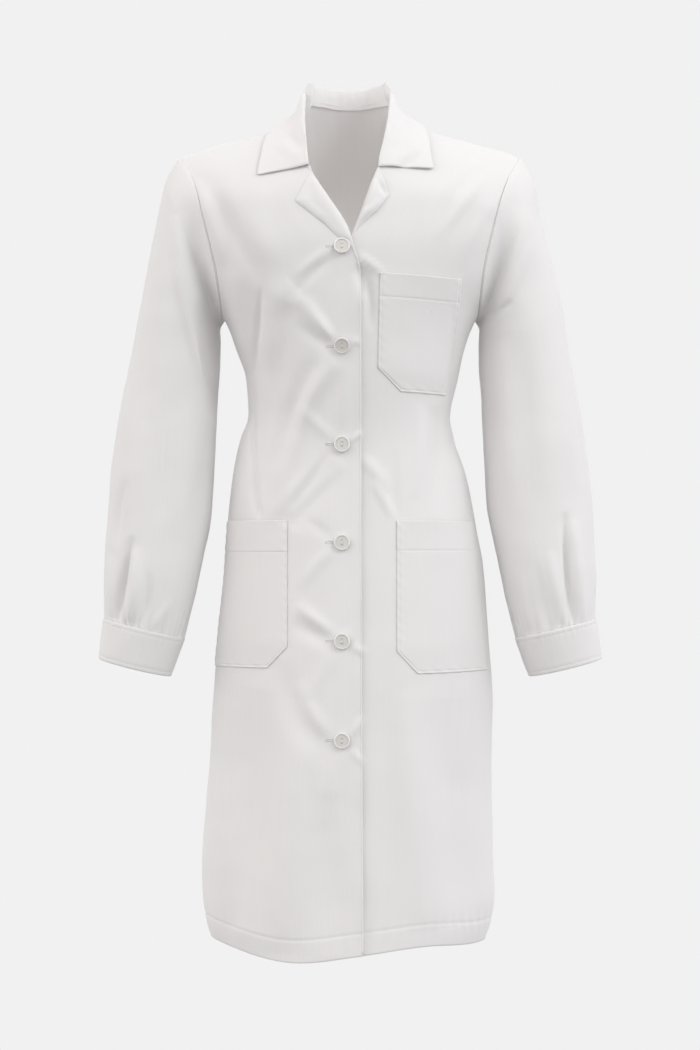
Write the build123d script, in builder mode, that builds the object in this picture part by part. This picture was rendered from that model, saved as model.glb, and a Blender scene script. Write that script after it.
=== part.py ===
"""A women's lab coat, buttoned up and filled out as if worn.

+Z is up, -Y is the wearer's front and +X the wearer's left. The origin is the middle of the
neck opening, where a hanger or a mannequin's neck carries the coat. Sizes are in millimetres.
The cloth lies in plies round the body, counted from the inside out.
"""

import os
from functools import cache
from math import hypot

from build123d import *

# cloth
cloth = 1.0  # thickness of one ply
ply_gap = 0.4  # air between two plies
lining = 1.0  # stiffener inside the collar and the cuffs
ply = cloth + ply_gap

# which ply each layer is, from the inside out
left_facing_ply = 0
left_front_ply = 1
right_facing_ply = 2
right_front_ply = 3
under_collar_ply = 4
lining_ply = 5
upper_collar_ply = 6

# heights above the origin
hem_z = -970.0
skirt_z = -780.0
hip_z = -600.0
belly_z = -480.0
waist_z = -350.0
rib_z = -290.0
underarm_z = -248.0
bust_z = -225.0
chest_z = -150.0
shoulder_z = -62.0
neck_side_z = -22.0
nape_z = 8.0
collar_top_z = 30.0

# half widths of the body at those heights, where the side seams are
hem_half = 172.0
skirt_half = 167.0
hip_half = 157.0
belly_half = 143.0
waist_half = 122.0
rib_half = 136.0
underarm_half = 140.0
armhole_half = 146.0  # the armholes' lowest point, just clear of the sleeves
shoulder_half = 199.0
neck_half = 56.0

# front closure
front_edge = 12.0  # the right front's edge, left of the middle
overlap = 40.0  # how far the fronts lie over each other
break_z = -165.0  # where the lapels start to roll
button_x = -9.0
first_button_z = -178.0
button_pitch = 110.5
button_count = 6
facing_width = 72.0
side_seam_y = 6.0
roll_gap = 0.3  # between the edge of a front panel and the facing that rolls round it

# buttons
button_d = 18.0
button_t = 3.2
button_rim = 1.6
button_dish = 0.9
sew_hole_d = 1.9
sew_hole_pitch = 4.4
shank_d = 2.4
thread_d = 0.9
button_lift = 0.5
buttonhole_length = 21.0
buttonhole_width = 3.4
buttonhole_edge = 1.6
stitch_height = 0.3
sew_gap = 0.6  # from the end of a button's shank to the cloth that it is sewn to

# pockets
pocket_room = 8.0
pocket_corner = 24.0
chest_pocket_x = 33.0
chest_pocket_width = 90.0
chest_pocket_z = -208.0
chest_pocket_height = 131.0
hip_pocket_x = 61.0
hip_pocket_z = -485.0
hip_pocket_height = 168.0

# collar
collar_point_x = 104.0
collar_point_z = -94.0
notch_x = 43.0
notch_z = -87.0
collar_side_x = 88.0
collar_fall_back = 48.0
lapel_point_x = 61.0
lapel_point_z = -124.0
lapel_low_x = 19.0
lapel_low_z = -161.0

# sleeves and cuffs
arm_gap = 0.6  # between the sleeves and the body, which move apart
sleeve_depth = 60.0
cuff_height = 46.0
cuff_top_depth = 43.0
cuff_end_depth = 39.0
cuff_inner_x = 193.0
cuff_inner_z = -620.0
cuff_outer_x = 282.0
cuff_outer_z = -598.0
cuff_shrink = 5.0
slit_length = 110.0
slit_width = 1.0
placket_width = 14.0
cuff_overlap = 34.0
cuff_link = 4.0

far = 400.0  # beyond the coat on any side

# Each body section is (height, half width, depth to the front, depth to the back, how much a
# thicker ply lifts it). Over the shoulders it reaches past the armholes, which cut it back.
body_sections = (
    (hem_z, hem_half, 142, 135, 0),
    (skirt_z, skirt_half, 131, 126, 0),
    (hip_z, hip_half, 120, 114, 0),
    (belly_z, belly_half, 109, 98, 0),
    (waist_z, waist_half, 99, 84, 0),
    (rib_z, rib_half, 112, 86, 0),
    (underarm_z, underarm_half, 124, 88, 0),
    (bust_z, underarm_half + 24, 126, 90, 0),
    (bust_z + 25, underarm_half + 46, 124, 92, 0),
    (chest_z, shoulder_half + 8, 110, 94, 0),
    (shoulder_z - 34, shoulder_half + 22, 84, 80, 0.3),
    (shoulder_z - 6, shoulder_half + 14, 62, 64, 0.6),
    (shoulder_z + 14, shoulder_half - 50, 50, 58, 0.9),
    (shoulder_z + 28, shoulder_half - 100, 48, 60, 0.9),
    (neck_side_z, neck_half + 10, 50, 62, 0.7),
    (nape_z, neck_half + 2, 44, 62, 0),
    (collar_top_z + 2 * ply, neck_half, 40, 60, 0),
)

# Each sleeve section is (inner point, outer point, half depth, middle's y). The points are
# (x, z) on the left sleeve, and the first pair lies along the armhole.
sleeve_sections = (
    ((151, underarm_z), (shoulder_half + arm_gap, shoulder_z), sleeve_depth, 0),
    ((152, -253), (219, -118), sleeve_depth, 0),
    ((153, -258), (233, -185), sleeve_depth, 0),
    ((152.5, -270), (247, -255), sleeve_depth, 0),
    ((153.5, -352), (262, -338), sleeve_depth, -4),
    ((158, -446), (277, -430), sleeve_depth, -12),
    ((171, -535), (284, -517), sleeve_depth - 6, -22),
    ((cuff_inner_x, cuff_inner_z), (cuff_outer_x, cuff_outer_z), cuff_top_depth, -30),
)


def blend(low, high, height):
    """The body section at a height, straight between the two nearest ones."""
    share = (height - low[0]) / (high[0] - low[0])
    return [a + (b - a) * share for a, b in zip(low, high)]


def front_point(x, z, grow):
    """Where the front of the body is at x and z, with its skin moved out by grow."""
    low, high = next(
        pair for pair in zip(body_sections, body_sections[1:]) if pair[0][0] <= z <= pair[1][0]
    )
    _, half, front, back, _ = blend(low, high, z)
    depth = (front + back) / 2 + grow
    return Vector(x, (back - front) / 2 - depth * (1 - (x / (half + grow)) ** 2) ** 0.5, z)


def front_plane(x, z, grow):
    """The plane that touches the front of the body at x and z, facing outward."""
    step = 4.0
    here = front_point(x, z, grow)
    across = front_point(x + step, z, grow) - front_point(x - step, z, grow)
    up = front_point(x, z + step, grow) - front_point(x, z - step, grow)
    return Plane(origin=here, x_dir=across, z_dir=across.cross(up))


@cache
def body_form(grow):
    """The whole body as one solid, its skin moved out by grow."""
    with BuildPart() as form:
        for height, half, front, back, lift in body_sections:
            with BuildSketch(Plane.XY.offset(height + grow * lift)):
                with Locations((0, (back - front) / 2)):
                    Ellipse(half + grow, (front + back) / 2 + grow)
        loft(ruled=True)
    return form.part


@cache
def body_shell(inside, outside):
    """The space between two skins of the body."""
    with BuildPart() as shell:
        add(body_form(outside))
        add(body_form(inside), mode=Mode.SUBTRACT)
    return shell.part


def body_ply(number):
    """One ply of cloth all round the body."""
    return body_shell(number * ply, number * ply + cloth)


def sleeve_plane(inner, outer, middle_y):
    """The plane of a sleeve section, with its x along the line from inner to outer."""
    run = Vector(outer[0] - inner[0], 0, outer[1] - inner[1])
    middle = Vector((inner[0] + outer[0]) / 2, middle_y, (inner[1] + outer[1]) / 2)
    return Plane(origin=middle, x_dir=run, z_dir=run.cross(Vector(0, 1, 0)))


@cache
def sleeve_form(grow):
    """The left sleeve as one solid, its skin moved out by grow."""
    with BuildPart() as form:
        for inner, outer, depth, middle_y in sleeve_sections:
            half = hypot(outer[0] - inner[0], outer[1] - inner[1]) / 2
            with BuildSketch(sleeve_plane(inner, outer, middle_y)):
                Ellipse(half + grow, depth + grow)
        loft(ruled=True)
    return form.part


def front_cut(*points, mode=Mode.INTERSECT):
    """Keeps what lies behind an outline seen from the front, as far back as the side seams."""
    with BuildSketch(Plane.XZ.offset(-side_seam_y)) as window:
        Polygon(*points, align=None)
    extrude(window.sketch, amount=far, mode=mode)


def back_cut(*points, mode=Mode.INTERSECT):
    """Keeps what lies behind an outline, from the side seams to the back."""
    with BuildSketch(Plane.XZ.offset(-side_seam_y)) as window:
        Polygon(*points, align=None)
    extrude(window.sketch, amount=-far, mode=mode)


def buttonholes(edge=0.0):
    """A slot square to the cloth behind each button, running away from the front edge."""
    with BuildPart() as slots:
        for seat in button_seats:
            with BuildSketch(seat) as slot:
                with Locations((-(buttonhole_length - buttonhole_width) / 2, 0)):
                    SlotOverall(buttonhole_length + 2 * edge, buttonhole_width + 2 * edge)
            extrude(slot.sketch, amount=hole_reach, both=True)
    return slots.part


right_front_face = right_front_ply * ply + cloth
left_front_face = left_front_ply * ply + cloth
seat_height = right_front_face + stitch_height + button_lift
shank_reach = seat_height - left_front_face - sew_gap
hole_reach = seat_height + ply
button_seats = [
    front_plane(button_x, first_button_z - i * button_pitch, seat_height)
    for i in range(button_count)
]


# ---- front panels, cut along the roll line and the armhole
neck_edge = (neck_half, neck_side_z)
armhole = ((shoulder_half, shoulder_z), (armhole_half, underarm_z), (far, underarm_z))
shoulder_top = ((neck_half, nape_z), (shoulder_half, shoulder_z + 60))

with BuildPart() as right_front:
    add(body_ply(right_front_ply))
    front_cut(
        (front_edge, hem_z),
        (front_edge, break_z),
        (-notch_x, notch_z),
        (-neck_half, neck_side_z),
        *((-x, z) for x, z in shoulder_top),
        *((-x, z) for x, z in armhole),
        (-far, hem_z),
    )
    add(buttonholes(), mode=Mode.SUBTRACT)

left_edge = front_edge - overlap
left_break_x = front_edge + 3
left_break_drop = 22.0
with BuildPart() as left_front:
    add(body_ply(left_front_ply))
    front_cut(
        (left_edge, hem_z),
        (left_edge, break_z - left_break_drop),
        (left_break_x, break_z),
        (notch_x, notch_z),
        neck_edge,
        *shoulder_top,
        *armhole,
        (far, hem_z),
    )

with BuildPart() as back_panel:
    add(body_ply(left_front_ply))
    back_cut(
        (-far, hem_z),
        *((-x, z) for x, z in reversed(armhole)),
        *((-x, z) for x, z in reversed(shoulder_top[1:])),
        (-neck_half, nape_z),
        (neck_half, nape_z),
        *shoulder_top[1:],
        *armhole,
        (far, hem_z),
    )


# ---- facings: a strip inside each front edge, and the lapel that it turns back into
def facing(side, inner_ply, edge, strip_to, break_x, under):
    """The facing of one side, as the strip inside, the lapel outside and the roll between."""
    roll_in, roll_out = side * -roll_gap, side * -(roll_gap + cloth)
    fold = ((break_x + roll_out, break_z), (side * notch_x + roll_out, notch_z))
    hidden = ((break_x + roll_in, break_z), (side * notch_x + roll_in, notch_z))
    with BuildPart() as strip:
        add(body_ply(inner_ply))
        front_cut(
            (edge, hem_z),
            (edge, break_z - under),
            *fold,
            (side * (notch_x + 30), notch_z - 4),
            (strip_to, break_z - 60),
            (strip_to, hem_z),
        )
        if side < 0:
            add(buttonholes(), mode=Mode.SUBTRACT)
    lapel_ply = (right_front_ply if side < 0 else left_front_ply) + 1
    with BuildPart() as lapel:
        add(body_ply(lapel_ply))
        front_cut(*fold, (side * lapel_point_x, lapel_point_z), (side * lapel_low_x, lapel_low_z))
    with BuildPart() as roll:
        add(body_shell(inner_ply * ply, lapel_ply * ply + cloth))
        front_cut(*fold, *reversed(hidden))
    return [strip.part, lapel.part, roll.part]


with BuildPart() as right_front_facing:
    add(facing(-1, right_facing_ply, front_edge, front_edge - facing_width, front_edge, 0))

with BuildPart() as left_front_facing:
    add(
        facing(
            1, left_facing_ply, left_edge, left_edge + facing_width, left_break_x, left_break_drop
        )
    )


# ---- buttonholes: a raised stitched rim round each slot in the right front
with BuildPart() as front_buttonholes:
    add(buttonholes(buttonhole_edge))
    add(buttonholes(), mode=Mode.SUBTRACT)
    add(body_shell(right_front_face, right_front_face + stitch_height), mode=Mode.INTERSECT)


# ---- buttons, each sewn through two holes on a shank of thread
def button(seat):
    """A round button whose underside lies on the seat plane."""
    with BuildPart() as disc:
        with BuildSketch(seat):
            Circle(button_d / 2)
        extrude(amount=button_t)
        fillet(disc.edges(), 0.7)
        with BuildSketch(seat.offset(button_t)):
            Circle(button_d / 2 - button_rim)
        extrude(amount=-button_dish, mode=Mode.SUBTRACT)
        with BuildSketch(seat.offset(-1)):
            with GridLocations(0, sew_hole_pitch, 1, 2):
                Circle(sew_hole_d / 2)
        extrude(amount=button_t + 2, mode=Mode.SUBTRACT)
    return disc.part


def button_thread(seat, reach):
    """The thread of a button: a shank down to the cloth, two legs and the stitch on top."""
    dish = button_t - button_dish
    with BuildPart() as thread:
        with BuildSketch(seat.offset(-reach)):
            Circle(shank_d / 2)
        extrude(amount=reach)
        with BuildSketch(seat.offset(-stitch_height)):
            SlotCenterToCenter(sew_hole_pitch, thread_d, rotation=90)
        extrude(amount=stitch_height)
        with BuildSketch(seat.offset(-stitch_height)):
            with GridLocations(0, sew_hole_pitch, 1, 2):
                Circle(thread_d / 2)
        extrude(amount=stitch_height + dish + thread_d)
        with BuildSketch(seat.offset(dish)):
            SlotCenterToCenter(sew_hole_pitch, thread_d, rotation=90)
        extrude(amount=thread_d)
    return thread.part


# ---- pockets: a patch that stands off the front, closed at its sides and its bottom
def pocket(base, x, top, width, height, side_y):
    """A patch pocket on the skin at base, from x outward, cut off at side_y."""

    def edges(inset, above):
        low, high = x + inset, x + width - inset
        bottom = top - height + inset
        return (
            (low, top + above),
            (high, top + above),
            (high, bottom + pocket_corner),
            (high - pocket_corner, bottom),
            (low + pocket_corner, bottom),
            (low, bottom + pocket_corner),
        )

    def window(points, cut_y):
        with BuildSketch(Plane.XZ.offset(-cut_y)) as face:
            Polygon(*points, align=None)
        extrude(face.sketch, amount=far, mode=Mode.INTERSECT)

    with BuildPart() as room:
        add(body_shell(base, base + pocket_room))
        window(edges(cloth, far), side_y - cloth)
    with BuildPart() as bag:
        add(body_shell(base, base + pocket_room + cloth))
        window(edges(0, 0), side_y)
        add(room.part, mode=Mode.SUBTRACT)
    return bag.part


hip_pocket_side_y = side_seam_y - 10
hip_pocket_width = far - hip_pocket_x

with BuildPart() as chest_pocket:
    add(
        pocket(
            left_front_face,
            chest_pocket_x,
            chest_pocket_z,
            chest_pocket_width,
            chest_pocket_height,
            side_seam_y,
        )
    )

with BuildPart() as left_hip_pocket:
    add(
        pocket(
            left_front_face,
            hip_pocket_x,
            hip_pocket_z,
            hip_pocket_width,
            hip_pocket_height,
            hip_pocket_side_y,
        )
    )

with BuildPart() as right_hip_pocket:
    add(
        pocket(
            right_front_face,
            hip_pocket_x,
            hip_pocket_z,
            hip_pocket_width,
            hip_pocket_height,
            hip_pocket_side_y,
        )
    )
    mirror(about=Plane.YZ, mode=Mode.REPLACE)


# ---- collar: a stand up to the roll, and a fall over the shoulders with a point each side
def collar_window(fall, top, inset=0.0):
    """The space of the fall, or of the stand alone, seen from the front and the back."""
    inner = neck_half - 8
    side = collar_side_x - inset
    low = nape_z - 14
    with BuildPart() as space:
        for hand in (1, -1):
            wing = (
                (notch_x + inset, notch_z + inset),
                (collar_point_x - 2 * inset, collar_point_z + inset),
                (side, -30),
                (side, top),
                (inner, top),
                (inner, neck_side_z),
            )
            stand = ((inner, low), (far, low), (far, top), (inner, top))
            with BuildSketch(Plane.XZ.offset(-side_seam_y)) as front:
                Polygon(*((hand * x, z) for x, z in (wing if fall else stand)), align=None)
            extrude(front.sketch, amount=far)
        with BuildSketch(Plane.XZ.offset(-side_seam_y)) as back:
            if fall:
                bottom = inset - collar_fall_back
                Polygon((-side, bottom), (side, bottom), (side, top), (-side, top), align=None)
            else:
                Polygon((-far, low), (far, low), (far, top), (-far, top), align=None)
        extrude(back.sketch, amount=-far)
    return space.part


def collar_layer(inside_ply, outside_ply, top):
    """A collar ply: the stand inside, the fall outside and the roll over the top."""
    with BuildPart() as fall:
        add(body_ply(outside_ply))
        add(collar_window(True, top), mode=Mode.INTERSECT)
    with BuildPart() as stand:
        add(body_ply(inside_ply))
        add(collar_window(False, top), mode=Mode.INTERSECT)
    with BuildPart() as roll:
        add(body_shell(inside_ply * ply, outside_ply * ply + cloth))
        add(collar_window(False, top), mode=Mode.INTERSECT)
        with BuildSketch(Plane.XY.offset(top - cloth)) as cap:
            Rectangle(2 * far, 2 * far)
        extrude(cap.sketch, amount=cloth, mode=Mode.INTERSECT)
    return fall.part, stand.part, roll.part


with BuildPart() as under_collar:
    add(collar_layer(right_facing_ply, under_collar_ply, collar_top_z))

with BuildPart() as upper_collar:
    add(collar_layer(left_facing_ply, upper_collar_ply, collar_top_z + ply))

with BuildPart() as collar_interlining:
    add(body_ply(lining_ply))
    add(collar_window(True, collar_top_z - cloth, inset=2.0), mode=Mode.INTERSECT)


# ---- sleeves and cuffs, made on the left and mirrored to the right
cuff_plane = sleeve_plane((cuff_inner_x, cuff_inner_z), (cuff_outer_x, cuff_outer_z), -30)
cuff_half = hypot(cuff_outer_x - cuff_inner_x, cuff_outer_z - cuff_inner_z) / 2
cuff_wall = 2 * cloth + lining + 0.2
slit_x = -8.0


def cuff_radii(drop, grow):
    """Half width and half depth of the cuff at a drop below its top."""
    share = drop / cuff_height
    half = cuff_half - cuff_shrink * share + grow
    depth = cuff_top_depth + (cuff_end_depth - cuff_top_depth) * share + grow
    return half, depth


def cuff_form(grow, start, end):
    """The cuff as one solid between two drops below its top."""
    with BuildPart() as form:
        for drop in (start, end):
            with BuildSketch(cuff_plane.offset(-drop)):
                Ellipse(*cuff_radii(drop, grow))
        loft(ruled=True)
    return form.part


def cuff_band(inside, outside, start, end):
    """The space between two skins of the cuff."""
    with BuildPart() as band:
        add(cuff_form(outside, start, end))
        add(cuff_form(inside, start, end), mode=Mode.SUBTRACT)
    return band.part


def behind(low, high, rise, mode):
    """Cuts or keeps a stretch of the back of the sleeve, between two distances across."""
    with BuildSketch(cuff_plane) as strip:
        with Locations(((low + high) / 2, far / 2)):
            Rectangle(high - low, far)
    extrude(strip.sketch, amount=rise, mode=mode)


def cuff_seat(across, drop, grow):
    """The plane that touches the back of the cuff, facing outward."""

    def point(x, d):
        half, depth = cuff_radii(d, grow)
        return cuff_plane.offset(-d).from_local_coords((x, depth * (1 - (x / half) ** 2) ** 0.5, 0))

    here, step = Vector(point(across, drop)), 2.0
    run = Vector(point(across - step, drop)) - here
    up = Vector(point(across, drop - step)) - here
    return Plane(origin=here, x_dir=run, z_dir=run.cross(up))


with BuildPart() as left_sleeve:
    add(sleeve_form(cloth))
    add(sleeve_form(0), mode=Mode.SUBTRACT)
    behind(slit_x, slit_x + slit_width, slit_length, Mode.SUBTRACT)

with BuildPart() as left_sleeve_placket:
    add(sleeve_form(2 * cloth + stitch_height))
    add(sleeve_form(cloth), mode=Mode.SUBTRACT)
    behind(slit_x - placket_width, slit_x, slit_length, Mode.INTERSECT)

tab_inside = cuff_wall + stitch_height
tab_outside = tab_inside + cloth
cuff_hole_x = slit_x + 15
cuff_button_x = cuff_hole_x + (buttonhole_length - buttonhole_width) / 2
cuff_middle = cuff_height / 2


def cuff_hole(edge=0.0):
    """The outline of the cuff's buttonhole, grown by edge, on the back of the cuff."""
    with BuildSketch(cuff_seat(cuff_hole_x, cuff_middle, tab_outside)) as slot:
        SlotOverall(buttonhole_length + 2 * edge, buttonhole_width + 2 * edge)
    return slot.sketch


with BuildPart() as cuff_tab:
    add(cuff_band(tab_inside, tab_outside, 0, cuff_height))
    behind(slit_x - cuff_link, slit_x + cuff_overlap, -cuff_height, Mode.INTERSECT)
    extrude(cuff_hole(), amount=2, both=True, mode=Mode.SUBTRACT)

with BuildPart() as tab_link:
    add(cuff_band(cuff_wall, tab_outside, 0, cuff_height))
    behind(slit_x - cuff_link, slit_x, -cuff_height, Mode.INTERSECT)

with BuildPart() as left_cuff:
    add(cuff_band(0, cuff_wall, 0, cuff_height))
    add(cuff_band(cloth, cuff_wall - cloth, 0, cuff_height - cloth), mode=Mode.SUBTRACT)
    behind(slit_x, slit_x + slit_width, -cuff_height, Mode.SUBTRACT)
    add(cuff_tab.part)
    add(tab_link.part)

with BuildPart() as left_cuff_interlining:
    add(cuff_band(cloth + 0.1, cloth + 0.1 + lining, 0.5, cuff_height - cloth - 0.5))
    behind(slit_x - 2, slit_x + slit_width + 2, -cuff_height, Mode.SUBTRACT)

with BuildPart() as left_cuff_buttonhole:
    add(cuff_band(tab_outside, tab_outside + stitch_height, 0, cuff_height))
    extrude(cuff_hole(buttonhole_edge), amount=2, both=True, mode=Mode.INTERSECT)
    extrude(cuff_hole(), amount=2, both=True, mode=Mode.SUBTRACT)

cuff_button_height = tab_outside + stitch_height + button_lift
cuff_button_seat = cuff_seat(cuff_button_x, cuff_middle, cuff_button_height)
cuff_shank_reach = cuff_button_height - cuff_wall - sew_gap

with BuildPart() as left_cuff_button:
    add(button(cuff_button_seat))

with BuildPart() as left_cuff_thread:
    add(button_thread(cuff_button_seat, cuff_shank_reach))


# ---- the pieces by name
pieces = {
    "back_panel": back_panel,
    "right_front": right_front,
    "left_front": left_front,
    "right_front_facing": right_front_facing,
    "left_front_facing": left_front_facing,
    "under_collar": under_collar,
    "collar_interlining": collar_interlining,
    "upper_collar": upper_collar,
    "chest_pocket": chest_pocket,
    "right_hip_pocket": right_hip_pocket,
    "left_hip_pocket": left_hip_pocket,
    "front_buttonholes": front_buttonholes,
    "left_sleeve": left_sleeve,
    "left_sleeve_placket": left_sleeve_placket,
    "left_cuff": left_cuff,
    "left_cuff_interlining": left_cuff_interlining,
    "left_cuff_buttonhole": left_cuff_buttonhole,
    "left_cuff_button": left_cuff_button,
    "left_cuff_thread": left_cuff_thread,
}

for name in [name for name in pieces if name.startswith(("left_sleeve", "left_cuff"))]:
    with BuildPart() as right_hand:
        mirror(pieces[name].part, about=Plane.YZ)
    pieces[name.replace("left", "right")] = right_hand

for i, seat in enumerate(button_seats, 1):
    with BuildPart() as front_button:
        add(button(seat))
    pieces[f"front_button_{i}"] = front_button
    with BuildPart() as front_thread:
        add(button_thread(seat, shank_reach))
    pieces[f"front_thread_{i}"] = front_thread

os.makedirs("parts", exist_ok=True)
for name, piece in pieces.items():
    piece.part.label = name
    export_step(piece.part, f"parts/{name}.step")
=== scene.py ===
"""The looks of a women's lab coat: cloth, collar, pockets, cuffs and stitching round the frame.

Lengths are in millimetres until a mesh is made. +Z is up, -Y is the wearer's front and +X the
wearer's left. The coat hangs as if worn, and its origin is the middle of the neck opening.
"""
import math

import bpy
import numpy as np
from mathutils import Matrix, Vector, noise
from mathutils.bvhtree import BVHTree


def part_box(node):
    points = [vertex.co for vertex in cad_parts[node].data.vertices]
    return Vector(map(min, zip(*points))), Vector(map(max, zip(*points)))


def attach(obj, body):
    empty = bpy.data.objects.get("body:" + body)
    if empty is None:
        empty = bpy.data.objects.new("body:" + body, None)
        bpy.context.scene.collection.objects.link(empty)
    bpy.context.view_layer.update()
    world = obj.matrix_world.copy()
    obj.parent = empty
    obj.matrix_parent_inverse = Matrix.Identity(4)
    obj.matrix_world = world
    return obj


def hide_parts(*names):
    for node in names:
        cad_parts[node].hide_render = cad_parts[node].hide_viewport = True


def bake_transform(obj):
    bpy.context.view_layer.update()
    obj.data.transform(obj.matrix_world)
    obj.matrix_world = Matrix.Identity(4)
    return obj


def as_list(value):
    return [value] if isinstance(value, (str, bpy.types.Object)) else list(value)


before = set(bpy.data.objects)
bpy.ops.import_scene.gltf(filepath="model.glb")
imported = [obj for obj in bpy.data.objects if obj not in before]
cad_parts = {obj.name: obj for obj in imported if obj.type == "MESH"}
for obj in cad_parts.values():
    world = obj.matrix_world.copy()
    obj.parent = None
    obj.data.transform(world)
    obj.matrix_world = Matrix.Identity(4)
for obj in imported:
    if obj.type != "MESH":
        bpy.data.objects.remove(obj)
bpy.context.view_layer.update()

MM = 0.001

# ---- camera, light and floor
EYE = Vector((0, -3.0, -0.490))
SEEN_HEIGHT = 1.225  # metres from the top to the bottom of the view, at the coat
SENSOR = 36.0
FLOOR_Z = -1.14
BACKDROP = 0.879
SOFT_LIGHTS = (  # direction towards the light, how narrow it is, strength and colour
    ((0, 0, 1), 0.0, 0.22, (1.0, 0.985, 0.98)),
    ((0.1, -1, 0.1), 3.0, 0.42, (1.0, 0.99, 0.99)),
    ((-1, -0.45, 0.5), 5.0, 2.1, (1.0, 0.985, 0.965)),
    ((1, -0.4, 0.5), 5.0, 2.0, (0.985, 0.985, 1.0)),
    ((0, 1, 0.2), 1.0, 0.9, (1.0, 0.99, 0.985)),
)


def add_camera():
    data = bpy.data.cameras.new("camera")
    data.sensor_width = SENSOR
    data.lens = SENSOR * -EYE.y / SEEN_HEIGHT
    camera = bpy.data.objects.new("camera", data)
    camera.location = EYE
    camera.rotation_euler = (math.radians(90), 0, 0)
    bpy.context.scene.collection.objects.link(camera)
    bpy.context.scene.camera = camera


def add_area_light(name, place, aim, size, power, colour):
    data = bpy.data.lights.new(name, "AREA")
    data.size = size
    data.energy = power
    data.color = colour
    light = bpy.data.objects.new(name, data)
    light.location = place
    light.rotation_euler = (Vector(aim) - Vector(place)).to_track_quat("-Z", "Y").to_euler()
    bpy.context.scene.collection.objects.link(light)


def add_stage_object(name, radiance):
    """Makes the last added object part of the stage: seen by the camera, but lighting nothing."""
    made = bpy.context.object
    made.name = name
    made.visible_diffuse = False
    made.visible_glossy = False
    made.visible_shadow = False
    material = bpy.data.materials.new(name)
    material.use_nodes = True
    shader = material.node_tree.nodes["Principled BSDF"]
    shader.inputs["Base Color"].default_value = (0, 0, 0, 1)
    shader.inputs["Roughness"].default_value = 1.0
    shader.inputs["Specular IOR Level"].default_value = 0.0
    shader.inputs["Emission Color"].default_value = (1, 1, 1, 1)
    shader.inputs["Emission Strength"].default_value = radiance
    made.data.materials.append(material)


def add_soft_light():
    """Light from all round, strongest from high on both sides, warmer left and cooler right."""
    world = bpy.data.worlds.new("studio")
    world.use_nodes = True
    tree = world.node_tree
    direction = tree.nodes.new("ShaderNodeTexCoord").outputs["Generated"]
    total = None
    for aim, power, strength, colour in SOFT_LIGHTS:
        facing = tree.nodes.new("ShaderNodeVectorMath")
        facing.operation = "DOT_PRODUCT"
        facing.inputs[1].default_value = Vector(aim).normalized()
        tree.links.new(direction, facing.inputs[0])
        level = tree.nodes.new("ShaderNodeMath")
        level.operation = "MAXIMUM"
        level.inputs[1].default_value = 0.0
        tree.links.new(facing.outputs["Value"], level.inputs[0])
        raised = tree.nodes.new("ShaderNodeMath")
        raised.operation = "POWER"
        raised.inputs[1].default_value = power
        tree.links.new(level.outputs[0], raised.inputs[0])
        tint = tree.nodes.new("ShaderNodeVectorMath")
        tint.operation = "SCALE"
        tint.inputs[0].default_value = [strength * c for c in colour]
        tree.links.new(raised.outputs[0], tint.inputs["Scale"])
        if total is None:
            total = tint
            continue
        both = tree.nodes.new("ShaderNodeVectorMath")
        tree.links.new(total.outputs[0], both.inputs[0])
        tree.links.new(tint.outputs[0], both.inputs[1])
        total = both
    tree.links.new(total.outputs[0], tree.nodes["Background"].inputs["Color"])
    bpy.context.scene.world = world


def add_studio():
    bpy.context.scene.view_settings.view_transform = "Standard"
    add_soft_light()
    add_area_light("key", (1.7, -1.7, 1.4), (0, 0, -0.4), 0.7, 12, (0.99, 0.985, 1.0))
    add_area_light("inside", (0, -0.03, -0.24), (0, 0.09, -0.06), 0.08, 0.11, (1.0, 0.965, 0.93))
    bpy.ops.mesh.primitive_plane_add(size=40, location=(0, 0, FLOOR_Z))
    add_stage_object("floor", BACKDROP)
    bpy.ops.mesh.primitive_uv_sphere_add(segments=48, ring_count=24, radius=19, location=(0, 0, 0))
    add_stage_object("backdrop", BACKDROP)


add_camera()
add_studio()


# ---- smooth functions
def smooth(t):
    """0 to 1 with no corner at either end."""
    t = np.clip(t, 0, 1)
    return t * t * (3 - 2 * t)


def profile(*points):
    """A smooth function through (place, value) points, with no overshoot between them."""
    x, y = np.array(sorted(points), float).T
    step = np.diff(x)
    slope = np.diff(y) / step
    tangent = np.zeros_like(y)
    tangent[0], tangent[-1] = slope[0], slope[-1]
    near, away = 2 * step[1:] + step[:-1], step[1:] + 2 * step[:-1]
    for k in range(1, len(x) - 1):
        if slope[k - 1] * slope[k] > 0:
            weights = near[k - 1] + away[k - 1]
            tangent[k] = weights / (near[k - 1] / slope[k - 1] + away[k - 1] / slope[k])

    def at(place):
        place = np.clip(place, x[0], x[-1])
        k = np.clip(np.searchsorted(x, place) - 1, 0, len(step) - 1)
        t = (place - x[k]) / step[k]
        bend = tangent[k] * t * (1 - t) ** 2 + tangent[k + 1] * t * t * (t - 1)
        return y[k] + (y[k + 1] - y[k]) * t * t * (3 - 2 * t) + step[k] * bend

    return at


def spread(line, count):
    """The same line as a row of points, evenly spaced."""
    gaps = np.linalg.norm(np.diff(line, axis=0), axis=1)
    along = np.concatenate([[0], np.cumsum(gaps)])
    even = np.linspace(0, along[-1], count)
    return np.stack([np.interp(even, along, column) for column in line.T], -1)


def places(length, step, margin=6.0, fine=1.0):
    """Shares from 0 to 1 along a length, close together near both ends, where the stitching is."""
    edge = np.arange(0, margin, fine)
    middle = np.linspace(margin, length - margin, max(2, int((length - 2 * margin) / step)))
    return np.concatenate([edge, middle, length - edge[::-1]]) / length


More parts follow.
